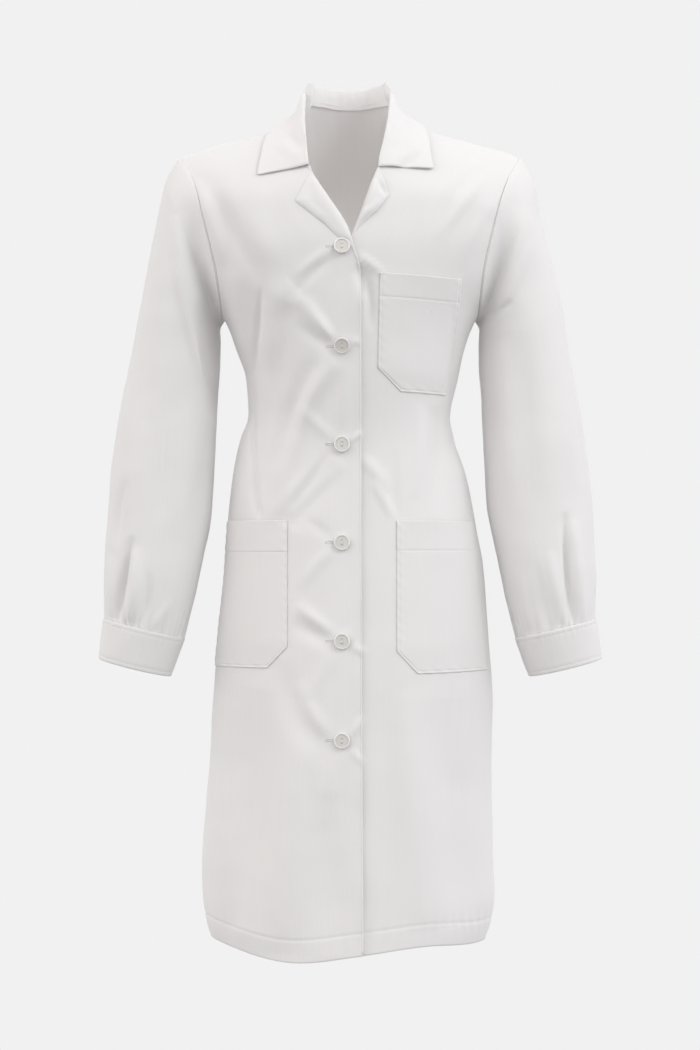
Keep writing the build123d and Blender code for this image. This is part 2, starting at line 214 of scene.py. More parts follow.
def grid_normals(grid, wrap=False):
    """Unit normals of a grid of points, rows by columns."""
    down = np.gradient(grid, axis=0)
    if wrap:
        around = np.concatenate([grid[:, -2:-1], grid, grid[:, 1:2]], 1)
        across = np.gradient(around, axis=1)[:, 1:-1]
    else:
        across = np.gradient(grid, axis=1)
    normal = np.cross(across, -down)
    return normal / np.maximum(np.linalg.norm(normal, axis=-1, keepdims=True), 1e-9)


# ---- the shape of the body: half widths and depths by height
half_left = profile(  # the wearer's left
    (-975, 156), (-945, 166), (-915, 170), (-881, 169), (-764, 167), (-694, 168), (-624, 164),
    (-578, 160), (-531, 156),
    (-484, 147), (-438, 138), (-391, 123), (-366, 119), (-321, 127), (-274, 139), (-248, 151),
    (-200, 186), (-150, 207), (-96, 221), (-60, 224), (60, 224),
)
half_right = profile(
    (-975, 159), (-945, 169), (-915, 173), (-881, 174), (-811, 169), (-764, 164), (-694, 161),
    (-624, 156), (-531, 147),
    (-484, 144), (-438, 137), (-391, 127), (-358, 119), (-321, 120), (-274, 137), (-248, 151),
    (-200, 186), (-150, 207), (-96, 221), (-60, 224), (60, 224),
)
back_depth = profile(
    (-970, 133), (-780, 124), (-600, 112), (-480, 97), (-350, 82), (-290, 85), (-225, 89),
    (-150, 92), (-80, 84), (-20, 74), (40, 66),
)
right_edge = profile(
    (-985, 14), (-600, 12), (-207, 11.2), (-193, 8.5), (-179, 4), (-160.5, -2.2), (-81, -46.5),
    (-60, -49.5), (-14, -56), (10, -57),
)
left_edge = profile(
    (-985, -28), (-215, -28), (-190, -12), (-165, 2.2), (-81, 34), (-60, 43), (-14, 55), (10, 56)
)
shoulder_line = profile(
    (-12, 43), (0, 46), (12, 43), (24, 32), (36, 17), (56, -14), (86, -30), (140, -45), (185, -58),
    (199, -64), (230, -76),
)
hem_line = profile(
    (-180, -960), (-150, -966), (-65, -978), (13, -969), (90, -962), (150, -967), (180, -969)
)
SHOULDER_DROP = 90.0  # how far below the shoulder seam the front reaches its full depth
SHOULDER_ARC = 120.0
LEVEL = -40.0
OUTER_PLY = 3.6  # the right front's middle, out from the left front's


def button_skin(node):
    """Where the cloth under a button is: (x, y, z) of the button's middle, moved back to its seat."""
    low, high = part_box(node)
    middle = (low + high) / 2 / MM
    return middle.x, middle.y + BUTTON_SEAT, middle.z


BUTTONHOLE_X = -17.3
BUTTON_SEAT = 2.9  # from a button's middle to the middle of the cloth under it
BUTTONS = [button_skin(f"front_button_{i}") for i in range(1, 7)]


def depth_at_button(x, y, z):
    """The front depth that puts the outer ply at a button's seat."""
    return -(y + OUTER_PLY) / math.sqrt(1 - (x / half_right(z)) ** 2)


front_depth = profile(
    (60, 60), (-20, 78), (-80, 96), (-130, 112),
    *((z, depth_at_button(x, y, z)) for x, y, z in BUTTONS),
    (-850, 136), (-985, 144),
)


def height(row, x):
    """The height of a row at x: rows follow the shoulder seam at the top and level out below."""
    turn = np.clip(row / SHOULDER_ARC, 0, 1) * np.pi / 2
    level = smooth((row - 50) / 170)
    drop = SHOULDER_DROP * (1 - np.cos(turn)) + np.maximum(row - SHOULDER_ARC, 0)
    return shoulder_line(np.abs(x)) * (1 - level) + LEVEL * level - drop


def body_base(angle, row):
    """The plain body: angle 0 is the front's middle and +90 degrees the wearer's left."""
    side = np.sin(angle)
    x = side * 150.0
    for _ in range(12):
        z = height(row, x)
        x = side * np.where(side < 0, half_right(z), half_left(z))
    turn = np.clip(row / SHOULDER_ARC, 0, 1) * np.pi / 2
    facing = np.cos(angle)
    depth = np.where(facing > 0, -front_depth(z), -back_depth(z)) * facing * np.sin(turn)
    return np.stack([x, depth * np.ones_like(x), z], -1)


def body(angle, row, out=0.0, relief=True):
    """Points on the body, moved out by a distance and by the folds of the cloth."""
    step = 0.02
    here = body_base(angle, row)
    across = body_base(angle + step, row) - body_base(angle - step, row)
    down = body_base(angle, row + 2) - body_base(angle, np.maximum(row - 2, 0.01))
    normal = np.cross(across, -down)
    normal /= np.maximum(np.linalg.norm(normal, axis=-1, keepdims=True), 1e-9)
    lift = np.asarray(out, float) * np.ones(here.shape[:-1])
    if relief:
        lift = lift + body_relief(here, np.cos(angle) > 0)
    return here + normal * lift[..., None]


def find(x, z, back=False):
    """The angle and row of the body's point at x and z."""
    x, z = np.broadcast_arrays(np.asarray(x, float), np.asarray(z, float))
    row = np.maximum(-10 - z, 5.0)
    for _ in range(60):
        row = np.clip(row + 0.7 * (height(row, x) - z), 1.0, 1000.0)
    angle = np.arcsin(np.clip(x / np.where(x < 0, half_right(z), half_left(z)), -0.999, 0.999))
    return (np.pi - angle if back else angle), row


def over(angle, row, x, z):
    """How far the right front stands out from the left one: they overlap in the middle only."""
    lap = OUTER_PLY * (1 - smooth((np.abs(angle) - 0.3) / 0.9)) * smooth((row - 10) / 120)
    between = np.sin(np.pi * (z - BUTTONS[0][2]) / (BUTTONS[1][2] - BUTTONS[0][2])) ** 2
    gape = 1.1 * between * np.exp(-(((x - right_edge(z)) / 10) ** 2)) * smooth((-200 - z) / 30)
    return lap + gape


def on_front(x, z, out=0.0, outer=False):
    """Points on the front of the body at x and z, on the left front's ply or the right front's."""
    angle, row = find(x, z)
    return body(angle, row, out + (over(angle, row, x, z) if outer else 0))


# ---- folds: each is a bent line with a width and a height, along which the cloth rises or sinks
def fold_height(x, z, start, middle, end, width, lift):
    """How far one fold lifts the cloth at x and z. It fades out at both of its ends."""
    share = np.linspace(0, 1, 15)[:, None]
    start, middle, end = (np.array(p, float) for p in (start, middle, end))
    line = start * (1 - share) ** 2 + middle * 2 * share * (1 - share) + end * share**2
    best = np.full(x.shape, 1e9)
    place = np.zeros(x.shape)
    for k in range(len(line) - 1):
        run = line[k + 1] - line[k]
        t = ((x - line[k, 0]) * run[0] + (z - line[k, 1]) * run[1]) / (run @ run)
        t = np.clip(t, 0, 1)
        gap = (x - line[k, 0] - t * run[0]) ** 2 + (z - line[k, 1] - t * run[1]) ** 2
        near = gap < best
        best = np.where(near, gap, best)
        place = np.where(near, (k + t) / (len(line) - 1), place)
    fade = np.sin(np.pi * np.clip(place, 0, 1)) ** 0.8
    return lift * fade * np.exp(-best / width**2)


def uneven(points, scale, seed):
    """Smooth noise from -1 to 1 at each point."""
    flat = points.reshape(-1, 3) / scale + seed * 7.31
    values = [noise.noise(Vector(p)) for p in flat]
    return np.array(values).reshape(points.shape[:-1])


# (start, middle, end, width, lift): pulls from the buttons and the drape of the front
FRONT_FOLDS = [
    # bust and upper chest
    ((-173, -87), (-141, -143), (-99, -217), 9, -3.4),
    ((-157, -80), (-119, -141), (-76, -204), 14, 2.2),
    ((-132, -204), (-120, -271), (-123, -372), 11, 3.6),
    ((-120, -372), (-123, -428), (-123, -484), 11, 3.2),
    ((-56, -233), (-40, -262), (-18, -282), 6, 3.0),
    ((-72, -237), (-81, -305), (-83, -395), 14, -3.0),
    ((-16, -307), (-54, -345), (-81, -480), 9, 4.6),
    ((-36, -305), (-74, -361), (-99, -462), 10, -3.0),
    ((-3, -307), (-7, -350), (-10, -390), 6, 1.8),
    ((-20, -406), (-42, -435), (-65, -473), 6, -3.2),
    ((-6, -419), (-38, -448), (-70, -484), 7, 2.6),
    ((12, -413), (27, -426), (45, -453), 7, 2.4),
    ((18, -204), (25, -226), (22, -271), 5, -4.6),
    ((-56, -226), (-67, -237), (-99, -228), 16, 3.4),
    ((-99, -224), (-103, -271), (-110, -318), 4, -4.4),
    ((-110, -305), (-113, -372), (-108, -442), 3, -4.1),
    ((-109, -428), (-108, -462), (-101, -484), 4, -3.1),
    ((-84, -237), (-92, -294), (-94, -383), 14, 3.7),
    ((115, -237), (119, -327), (111, -395), 5, -2.7),
    # pulls at each button
    ((-17, -181), (-34, -188), (-61, -210), 5, 2.4),
    ((-19, -188), (-38, -201), (-67, -237), 6, -2.0),
    ((7, -187), (18, -195), (38, -209), 3.5, 3.7),
    ((7, -199), (13, -210), (16, -237), 6, -4.1),
    ((-15, -286), (-27, -271), (-49, -233), 5, 3.1),
    ((-18, -294), (-34, -280), (-61, -262), 7, -2.4),
    ((-16, -300), (-43, -333), (-61, -383), 12, 3.7),
    ((-19, -307), (-56, -350), (-83, -428), 16, -3.1),
    ((-1, -286), (7, -282), (13, -287), 3, 1.7),
    ((-16, -408), (-47, -439), (-90, -484), 10, 3.4),
    ((-18, -419), (-49, -462), (-65, -496), 12, -3.1),
    ((-16, -395), (-31, -383), (-56, -354), 6, 1.7),
    ((-1, -397), (9, -390), (13, -383), 3, 2.0),
    ((-16, -516), (-36, -529), (-56, -563), 7, 2.0),
    ((-18, -507), (-31, -496), (-49, -484), 6, -1.5),
    ((-17, -615), (-34, -599), (-61, -579), 6, 3.1),
    ((-19, -624), (-40, -612), (-65, -599), 9, -3.4),
    ((-16, -630), (-31, -653), (-43, -686), 8, 1.7),
    ((0, -625), (9, -628), (18, -636), 4, 2.0),
    ((-17, -729), (-43, -711), (-56, -664), 8, 3.1),
    ((-19, -738), (-61, -729), (-74, -642), 15, -3.4),
    ((-16, -745), (-27, -776), (-31, -832), 9, 1.7),
    ((0, -727), (9, -716), (13, -703), 4, 2.0),
    ((0, -740), (8, -749), (16, -758), 4, 1.7),
    # the wearer's left side
    ((153, -91), (135, -114), (97, -170), 7, 2.7),
    ((144, -71), (126, -87), (101, -125), 6, 2.0),
    ((164, -121), (139, -150), (126, -201), 8, 2.2),
    ((79, -352), (83, -406), (74, -462), 9, 3.1),
    ((97, -354), (106, -406), (101, -478), 9, -3.7),
    ((123, -395), (126, -439), (130, -484), 6, 1.7),
    ((52, -406), (45, -451), (53, -489), 7, -2.0),
    ((25, -439), (38, -462), (53, -487), 5, 2.4),
    # the wearer's right side
    ((-173, -94), (-162, -125), (-144, -195), 8, 2.7),
    ((-153, -89), (-139, -132), (-132, -204), 11, -2.2),
    ((-119, -80), (-99, -136), (-99, -195), 14, 1.7),
    # the skirt
    ((-103, -675), (-110, -799), (-117, -945), 22, -4.8),
    ((-56, -686), (-65, -821), (-72, -967), 20, 4.4),
    ((-22, -788), (-25, -866), (-20, -967), 16, -3.1),
    ((65, -675), (72, -799), (83, -945), 20, 4.1),
    ((38, -619), (43, -754), (40, -945), 16, -2.0),
    ((108, -686), (117, -799), (126, -945), 20, -3.7),
    ((-144, -686), (-150, -821), (-144, -945), 14, 3.4),
]
# the back is seen in no picture, so its folds are plain drape
BACK_FOLDS = [
    ((-150, -130), (-90, -170), (-20, -210), 16, 1.8),
    ((150, -130), (96, -176), (30, -220), 18, 1.8),
    ((-70, -240), (-74, -350), (-68, -470), 4, -2.4),
    ((70, -240), (74, -350), (68, -470), 4, -2.4),
    ((-120, -330), (-60, -352), (10, -340), 10, 1.6),
    ((120, -350), (50, -366), (-20, -356), 9, 1.4),
    ((-96, -500), (-104, -700), (-112, -960), 24, 3.4),
    ((-46, -520), (-40, -740), (-52, -960), 24, -3.0),
    ((8, -560), (2, -760), (6, -960), 22, 3.2),
    ((58, -520), (60, -740), (54, -960), 24, -3.0),
    ((104, -500), (112, -700), (120, -960), 22, 3.0),
]
HEM_WIDTH = 25.0


def hem_relief(points):
    """The hem's stitch line and the puckers that it draws in the cloth."""
    rise = points[..., 2] - hem_line(points[..., 0])
    along = points[..., 0] + 0.4 * points[..., 1]
    wave = np.sin(along / 2.4 + 3 * uneven(points, 45, 3)) * (0.6 + 0.5 * uneven(points, 30, 4))
    pucker = 0.42 * wave * np.exp(-(((rise - HEM_WIDTH) / 13) ** 2))
    stitch = -0.5 * np.exp(-(((rise - HEM_WIDTH) / 1.8) ** 2))
    return pucker + stitch


def body_relief(points, front):
    """How far the cloth of the body stands out from the plain shape."""
    x, z = points[..., 0], points[..., 2]
    lift = np.zeros(x.shape)
    for folds, mask in ((FRONT_FOLDS, front), (BACK_FOLDS, ~front)):
        if mask.any():
            total = np.zeros(mask.sum())
            for fold in folds:
                total += fold_height(x[mask], z[mask], *fold)
            lift[mask] += total
    lift += 1.1 * uneven(points, 70, 1) + 0.35 * uneven(points, 26, 2)
    lift += hem_relief(points)
    near = np.zeros(x.shape)
    for bx, _, bz in BUTTONS:
        near = np.maximum(near, np.exp(-(((x - bx) ** 2 + (z - bz) ** 2) / 13**2) ** 2))
    return lift * (1 - np.where(front, near, 0))


# ---- meshes
def make_object(name, vertices, faces, material, uvs=None):
    mesh = bpy.data.meshes.new(name)
    mesh.from_pydata((np.asarray(vertices) * MM).tolist(), [], faces)
    if uvs is not None:
        layer = mesh.uv_layers.new(name="UVMap")
        corners = np.empty(len(mesh.loops), np.int32)
        mesh.loops.foreach_get("vertex_index", corners)
        layer.data.foreach_set("uv", np.asarray(uvs, np.float32)[corners].ravel())
    mesh.shade_smooth()
    mesh.materials.append(material)
    made = bpy.data.objects.new(name, mesh)
    bpy.context.scene.collection.objects.link(made)
    return made


def cloth(name, grid, thickness, material, wrap=False):
    """A sheet of cloth with a thickness and rounded edges, from a grid of points on its middle.
    With wrap the last column lies on the first, and the cloth is a tube."""
    normal = grid_normals(grid, wrap)
    if wrap:
        grid, normal = grid[:, :-1], normal[:, :-1]
    rows, columns = grid.shape[:2]
    across = np.linalg.norm(np.diff(grid, axis=1), axis=-1).mean(0)
    down = np.linalg.norm(np.diff(grid, axis=0), axis=-1).mean(1)
    u = np.concatenate([[0], np.cumsum(across)]) * MM
    v = np.concatenate([[0], np.cumsum(down)]) * MM
    uv = np.stack(np.broadcast_arrays(u[None, :], v[:, None]), -1).reshape(-1, 2)
    outer = (grid + normal * thickness / 2).reshape(-1, 3)
    inner = (grid - normal * thickness / 2).reshape(-1, 3)
    count = rows * columns
    number = np.arange(count).reshape(rows, columns)
    last = columns if wrap else columns - 1
    faces = []
    for i in range(rows - 1):
        for j in range(last):
            k = (j + 1) % columns
            a, b, c, d = number[i, j], number[i, k], number[i + 1, k], number[i + 1, j]
            faces.append((d, c, b, a))
            faces.append((a + count, b + count, c + count, d + count))
    loops = [list(number[0]), list(number[-1][::-1])]
    if not wrap:
        loops = [[*number[0], *number[1:, -1], *number[-1, -2::-1], *number[-2:0:-1, 0]]]
    vertices, uvs = [outer, inner], [uv, uv]
    base = 2 * count
    for loop in loops:
        middle = grid.reshape(-1, 3)[loop]
        if wrap:
            inward = number[1] if loop is loops[0] else number[-2][::-1]
            away = middle - grid.reshape(-1, 3)[inward]
        else:
            before, after = np.roll(middle, 1, 0), np.roll(middle, -1, 0)
            away = np.cross(normal.reshape(-1, 3)[loop], after - before)
        away /= np.maximum(np.linalg.norm(away, axis=-1, keepdims=True), 1e-9)
        vertices.append(middle + away * thickness * 0.35)
        uvs.append(uv[loop])
        size = len(loop)
        for i in range(size):
            k = (i + 1) % size
            a, b, m, n = loop[i], loop[k], base + i, base + k
            faces.append((a, b, n, m))
            faces.append((m, n, b + count, a + count))
        base += size
    return make_object(name, np.concatenate(vertices), faces, material, np.concatenate(uvs))


# ---- materials
def new_material(name, colour, roughness, sheen=0.0):
    material = bpy.data.materials.new(name)
    material.use_nodes = True
    shader = material.node_tree.nodes["Principled BSDF"]
    shader.inputs["Base Color"].default_value = (*colour, 1)
    shader.inputs["Roughness"].default_value = roughness
    shader.inputs["Sheen Weight"].default_value = sheen
    shader.inputs["Sheen Roughness"].default_value = 0.5
    return material, material.node_tree, shader


def add_noise(tree, source, scale, detail=2.0):
    """A noise texture whose points are stretched by scale."""
    stretch = tree.nodes.new("ShaderNodeMapping")
    stretch.inputs["Scale"].default_value = scale
    tree.links.new(source, stretch.inputs["Vector"])
    texture = tree.nodes.new("ShaderNodeTexNoise")
    texture.inputs["Scale"].default_value = 1.0
    texture.inputs["Detail"].default_value = detail
    tree.links.new(stretch.outputs["Vector"], texture.inputs["Vector"])
    return texture.outputs["Fac"]


def combine(tree, operation, first, second):
    node = tree.nodes.new("ShaderNodeMath")
    node.operation = operation
    for socket, value in zip(node.inputs, (first, second)):
        if isinstance(value, (int, float)):
            socket.default_value = value
        else:
            tree.links.new(value, socket)
    return node.outputs[0]


def woven(name, colour, threads=2300.0):
    """Polyester-cotton cloth: warp and weft threads in relief, slubs, and a faint change of white."""
    material, tree, shader = new_material(name, colour, 0.82, 0.25)
    where = tree.nodes.new("ShaderNodeTexCoord").outputs["UV"]
    warp = add_noise(tree, where, (threads, threads / 26, 1))
    weft = add_noise(tree, where, (threads / 26, threads, 1))
    slub = add_noise(tree, where, (420, 9, 1), 3.0)
    cloudy = add_noise(tree, where, (16, 12, 1), 3.0)
    relief = combine(tree, "ADD", warp, weft)
    relief = combine(tree, "ADD", relief, combine(tree, "MULTIPLY", slub, 0.7))
    bump = tree.nodes.new("ShaderNodeBump")
    bump.inputs["Strength"].default_value = 0.35
    bump.inputs["Distance"].default_value = 0.0002
    tree.links.new(relief, bump.inputs["Height"])
    tree.links.new(bump.outputs["Normal"], shader.inputs["Normal"])
    shade = tree.nodes.new("ShaderNodeMix")
    shade.data_type = "RGBA"
    shade.inputs["A"].default_value = (*(c * 0.955 for c in colour), 1)
    shade.inputs["B"].default_value = (*(min(1, c * 1.02) for c in colour), 1)
    mixed = combine(tree, "ADD", combine(tree, "MULTIPLY", slub, 0.6), combine(tree, "MULTIPLY", cloudy, 0.4))
    tree.links.new(mixed, shade.inputs["Factor"])
    tree.links.new(shade.outputs["Result"], shader.inputs["Base Color"])
    return material


def moulded(name, colour):
    """The buttons' cast polyester: milky, with a faint pearly cloud and fine turning marks."""
    material, tree, shader = new_material(name, colour, 0.3)
    shader.inputs["Coat Weight"].default_value = 0.25
    shader.inputs["Subsurface Weight"].default_value = 0.15
    shader.inputs["Subsurface Radius"].default_value = (0.002, 0.002, 0.002)
    where = tree.nodes.new("ShaderNodeTexCoord").outputs["Object"]
    cloud = add_noise(tree, where, (260, 260, 260), 4.0)
    shade = tree.nodes.new("ShaderNodeMix")
    shade.data_type = "RGBA"
    shade.inputs["A"].default_value = (*(c * 0.9 for c in colour), 1)
    shade.inputs["B"].default_value = (*colour, 1)
    tree.links.new(cloud, shade.inputs["Factor"])
    tree.links.new(shade.outputs["Result"], shader.inputs["Base Color"])
    fine = add_noise(tree, where, (2500, 2500, 2500))
    bump = tree.nodes.new("ShaderNodeBump")
    bump.inputs["Strength"].default_value = 0.15
    bump.inputs["Distance"].default_value = 0.0001
    tree.links.new(fine, bump.inputs["Height"])
    tree.links.new(bump.outputs["Normal"], shader.inputs["Normal"])
    return material


def spun(name, colour):
    """Sewing thread, with the twist of its strands in relief."""
    material, tree, shader = new_material(name, colour, 0.6, 0.3)
    where = tree.nodes.new("ShaderNodeTexCoord").outputs["Object"]
    twist = add_noise(tree, where, (3000, 3000, 9000))
    bump = tree.nodes.new("ShaderNodeBump")
    bump.inputs["Strength"].default_value = 0.4
    bump.inputs["Distance"].default_value = 0.0002
    tree.links.new(twist, bump.inputs["Height"])
    tree.links.new(bump.outputs["Normal"], shader.inputs["Normal"])
    return material


WHITE = woven("white_cloth", (0.80, 0.786, 0.783))
# One button plastic in two colours: the darker copy on the sunken face is painted shade, the lighter copy on
# the rim a painted highlight.
BUTTON_PAINTED_SHADE = moulded("button_plastic_painted_shade", (0.72, 0.70, 0.665))
BUTTON_RIM_PAINTED_HIGHLIGHT = moulded("button_rim_painted_highlight", (0.86, 0.855, 0.84))
# Inside this radius a button gets the painted shade colour, outside it the painted highlight colour.
BUTTON_FACE = 0.0074  # the radius of a button's sunken face
THREAD = spun("sewing_thread", (0.84, 0.84, 0.83))


# ---- the panels of the body
CLOTH = 0.9
COLLAR_THICKNESS = 1.7
CUFF_THICKNESS = 1.9
POCKET_THICKNESS = 1.0
SIDE_SEAM = math.radians(80)
UNDERARM_Z = -250.0
LENGTH = 960.0  # rows from the shoulder seam to the hem
NECK_HALF = 56.0
SHOULDER_HALF = 224.0  # the body's half width at the height of the neck
armhole_front = profile(
    (-50, 200), (-66, 197), (-93, 182), (-126, 170), (-150, 164), (-180, 157), (-209, 152), (-250, 148)
)
armhole_back = profile(
    (-50, 200), (-66, 197), (-93, 179), (-126, 165), (-150, 159), (-180, 153), (-209, 150), (-250, 148)
)


def panel_rows(top):
    """Rows from the top of a panel to the hem, close together at the hem's stitching."""
    return np.concatenate([
        np.linspace(top, LENGTH - 34, 300), np.arange(LENGTH - 33, LENGTH - 17, 1.0),
        np.arange(LENGTH - 16, LENGTH + 0.1, 2.0),
    ])


def edge_angle(row, edge):
    """The angle of a front panel's edge at each row."""
    x = np.zeros(row.shape)
    for _ in range(40):
        x = 0.5 * x + 0.5 * edge(height(row, x))
    z = height(row, x)
    return np.arcsin(x / np.where(x < 0, half_right(z), half_left(z)))


def seam_angle(row, hand, line):
    """The angle where a panel ends on one side: the armhole, and the side seam under it."""
    x = np.full(row.shape, 150.0)
    for _ in range(30):
        x = line(height(row, x))
    z = height(row, x)
    half = half_left(z) if hand > 0 else half_right(z)
    return hand * np.where(z > UNDERARM_Z, np.arcsin(np.clip(x / half, 0, 1)), SIDE_SEAM)


def seam_dip(distance, row):
    """How far the cloth sinks into the armhole's seam, and a little into the side seam."""
    armhole = smooth((-10 - UNDERARM_Z + 15 - row) / 30)
    return -(0.8 + 1.6 * armhole) * np.exp(-((distance / 2.6) ** 2))


def fitted(angle, rows):
    """Rows stretched so that the last one lies on the hem."""
    last = 165 * np.sin(angle[-1])
    return rows * (-10 - hem_line(last)) / LENGTH


def front_panel(name, hand, edge, outer):
    share = places(230, 2.5)[None, :]
    flat_rows = panel_rows(0.5)[:, None] * np.ones(share.shape)
    rows = flat_rows
    for _ in range(2):
        inner, seam = edge_angle(rows, edge), seam_angle(rows, hand, armhole_front)
        angle = inner + (seam - inner) * share
        rows = fitted(angle, flat_rows)
    out = seam_dip((1 - share) * 230, rows)
    if outer:
        plain = body_base(angle, rows)
        out = out + over(angle, rows, plain[..., 0], plain[..., 2])
    grid = body(angle, rows, out)
    return cloth(name, grid if hand > 0 else grid[:, ::-1], CLOTH, WHITE)


nape_height = profile((-30, 6.5), (0, 6.5), (30, 6.5), (42, 3.5), (50, -4), (NECK_HALF, -14.5))


def nape_row(angle):
    """The row of the neck's edge on the back, at an angle from the back's middle."""
    x = np.abs(np.sin(angle)) * SHOULDER_HALF
    return find(x, nape_height(x), True)[1]


def back_panel():
    share = places(460, 3.0)[None, :] * 2 - 1
    flat_rows = panel_rows(0)[:, None] / LENGTH
    top = nape_row(share * math.radians(63))
    rows = top + (LENGTH - top) * flat_rows
    left, right = (seam_angle(rows, hand, armhole_back) for hand in (1, -1))
    angle = np.pi - np.where(share > 0, left * share, -right * share)
    rows = fitted(angle, rows)
    out = seam_dip((1 - np.abs(share)) * 230, rows)
    return cloth("back_cloth", body(angle, rows, out)[:, ::-1], CLOTH, WHITE)


# ---- facings and lapels: each outline is (z, x of the lapel's outer edge)
FACING_WIDTH = 72.0
FACING_GAP = 1.3
right_lapel = (
    (-985, 13), (-207, 10.2), (-192, 7.2), (-179, 2), (-173, -3), (-167.5, -13), (-151.6, -29),
    (-126.5, -60.5), (-91, -42.5), (-50, -44),
)
left_lapel = (
    (-985, -27), (-215, -27), (-190, -11), (-168, 2.5), (-161, 5), (-136, 31), (-119.5, 44),
    (-88, 34), (-50, 36),
)
# folds of the lapel itself, as (start, middle, end, width, lift)
RIGHT_LAPEL_FOLDS = [
    ((-31, -109), (-25, -132), (-11, -154), 7, 0.9),
    ((-40, -100), (-49, -121), (-31, -143), 6, -0.6),
    ((-56, -123), (-43, -134), (-20, -154), 4, 0.7),
]
LEFT_LAPEL_FOLDS = [
    ((29, -98), (34, -109), (40, -122), 3.2, -2.8),
    ((38, -94), (40, -105), (45, -117), 3.0, 1.8),
    ((25, -100), (27, -116), (18, -132), 4.0, 2.0),
    ((35, -125), (25, -136), (7, -154), 4.5, 1.9),
    ((18, -114), (13, -130), (4, -145), 3.5, -1.5),
]


def facing(name, hand, edge, lapel, outer, crown, folds):
    """The facing: a strip inside the front, turned round its edge and out into the lapel."""
    z = np.concatenate([np.linspace(-80, -215, 90), np.linspace(-218, -960, 230)])[:, None]
    at_edge = edge(z)
    tip = np.interp(z, *np.array(sorted(lapel)).T)
    width = np.abs(tip - at_edge)
    wide = smooth((width - 1) / 16)
    strip = np.linspace(FACING_WIDTH, 0.8, 24)[None, :]
    turn = np.linspace(0, np.pi, 9)[None, 1:-1]
    fall = places(44, 2.0, 4.0, 0.8)[None, :]
    rise = 0.55 + 1.15 * wide
    x_turn = at_edge - hand * (0.35 + 0.75 * wide) * np.sin(turn)
    out_turn = -FACING_GAP + (rise + FACING_GAP) * (1 - np.cos(turn)) / 2
    x_fall = at_edge + hand * width * fall
    out_fall = rise + crown * wide * np.sin(np.pi * fall**0.55)
    out_fall = out_fall + sum(fold_height(x_fall, z + 0 * x_fall, *fold) for fold in folds) * wide
    edge_roll = np.exp(-(((1 - fall) * width / 2.4) ** 2))
    out_fall = out_fall - 0.5 * edge_roll * wide
    x = np.concatenate([at_edge + hand * strip, x_turn, x_fall], 1)
    out = np.concatenate([-FACING_GAP + 0 * (at_edge + strip), out_turn, out_fall], 1)
    low = smooth((-760 - z) / 200)
    grid = on_front(x, z + (hem_line(x) + 2.5 + 960) * low, out, outer)
    return cloth(name, grid if hand < 0 else grid[:, ::-1], CLOTH, WHITE)


# ---- collar: (share of the way from the nape, from the seam to the roll, outer edge's x and z)
RIGHT_COLLAR = (
    (0.00, (0, 3, 23.5), (0, -42)),
    (0.20, (-1, 2, 23.5), (-46, -42)),
    (0.38, (2, 0, 28), (-74, -36)),
    (0.50, (5, 0, 26), (-85, -34)),
    (0.68, (3.5, 1, 17), (-97.5, -54)),
    (0.84, (1.5, 0, 12), (-100.5, -76)),
    (0.95, (0.5, -1.5, 4), (-103, -92)),
    (1.00, (0, -2.5, 0), (-103, -96)),
)
LEFT_COLLAR = (
    (0.00, (0, 3, 23.5), (0, -42)),
    (0.20, (-1.5, 2, 23.5), (44, -42)),
    (0.38, (-6, 0, 29), (69, -34)),
    (0.50, (-9.5, 0, 27), (79, -29)),
    (0.68, (-8.5, 1, 17), (88.5, -48)),
    (0.84, (-5, 0, 12), (91, -68)),
    (0.95, (-3, -1.5, 4), (93, -83)),
    (1.00, (0, -2.5, 0), (93.5, -87)),
)
neck_height = profile((0.5, -14), (0.6, -18), (0.68, -26), (0.84, -50), (0.95, -72), (1.0, -85))
COLLAR_FOLDS = [
    ((-71, -43), (-61, -56), (-57, -69), 6, -1.7),
    ((-88, -51), (-67, -64), (-53, -78), 7, 1.1),
    ((-52, -17), (-58, -40), (-83, -69), 8, 1.3),
    ((53, -89), (70, -80), (79, -64), 4, -2.2),
    ((54, -80), (67, -71), (76, -56), 5, 1.4),
    ((47, -69), (56, -60), (68, -44), 6, -1.1),
    ((61, -35), (70, -51), (79, -69), 8, 1.1),
]


def tree_of(made):
    return BVHTree.FromPolygons([v.co for v in made.data.vertices], [p.vertices for p in made.data.polygons])


def guard():
    """A surface a little outside the body, that the collar stays clear of."""
    angle, rows = np.meshgrid(np.linspace(-np.pi, np.pi, 361), np.linspace(0.5, 300, 150))
    plain = body_base(angle, rows)
    x, z = plain[..., 0], plain[..., 2]
    lapel = np.exp(-(((np.abs(x) - 46) / 9) ** 2)) * smooth((-60 - z) / 14) * (np.cos(angle) > 0)
    lap = np.where((x < 0) & (np.cos(angle) > 0), over(angle, rows, x, z), 0)
    grid = body(angle, rows, 2.6 + 1.6 * lapel + lap)
    number = np.arange(grid.shape[0] * grid.shape[1]).reshape(grid.shape[:2])
    faces = np.stack([number[1:, :-1], number[1:, 1:], number[:-1, 1:], number[:-1, :-1]], -1)
    return BVHTree.FromPolygons(grid.reshape(-1, 3).tolist(), faces.reshape(-1, 4).tolist())


def keep_clear(points, tree):
    """Moves points that are behind a surface out to it."""
    flat = points.reshape(-1, 3).copy()
    for k, point in enumerate(flat):
        spot, normal, _, _ = tree.find_nearest(Vector(point))
        if (Vector(point) - spot).dot(normal) < 0:
            flat[k] = spot
    return flat.reshape(points.shape)


def relaxed(grid, passes):
    """The grid with its points moved towards their neighbours' mean, and its two ends left."""
    grid = grid.copy()
    for _ in range(passes):
        grid[1:-1] = 0.5 * grid[1:-1] + 0.25 * (grid[:-2] + grid[2:])
        grid[:, 1:-1] = 0.5 * grid[:, 1:-1] + 0.25 * (grid[:, :-2] + grid[:, 2:])
    return grid


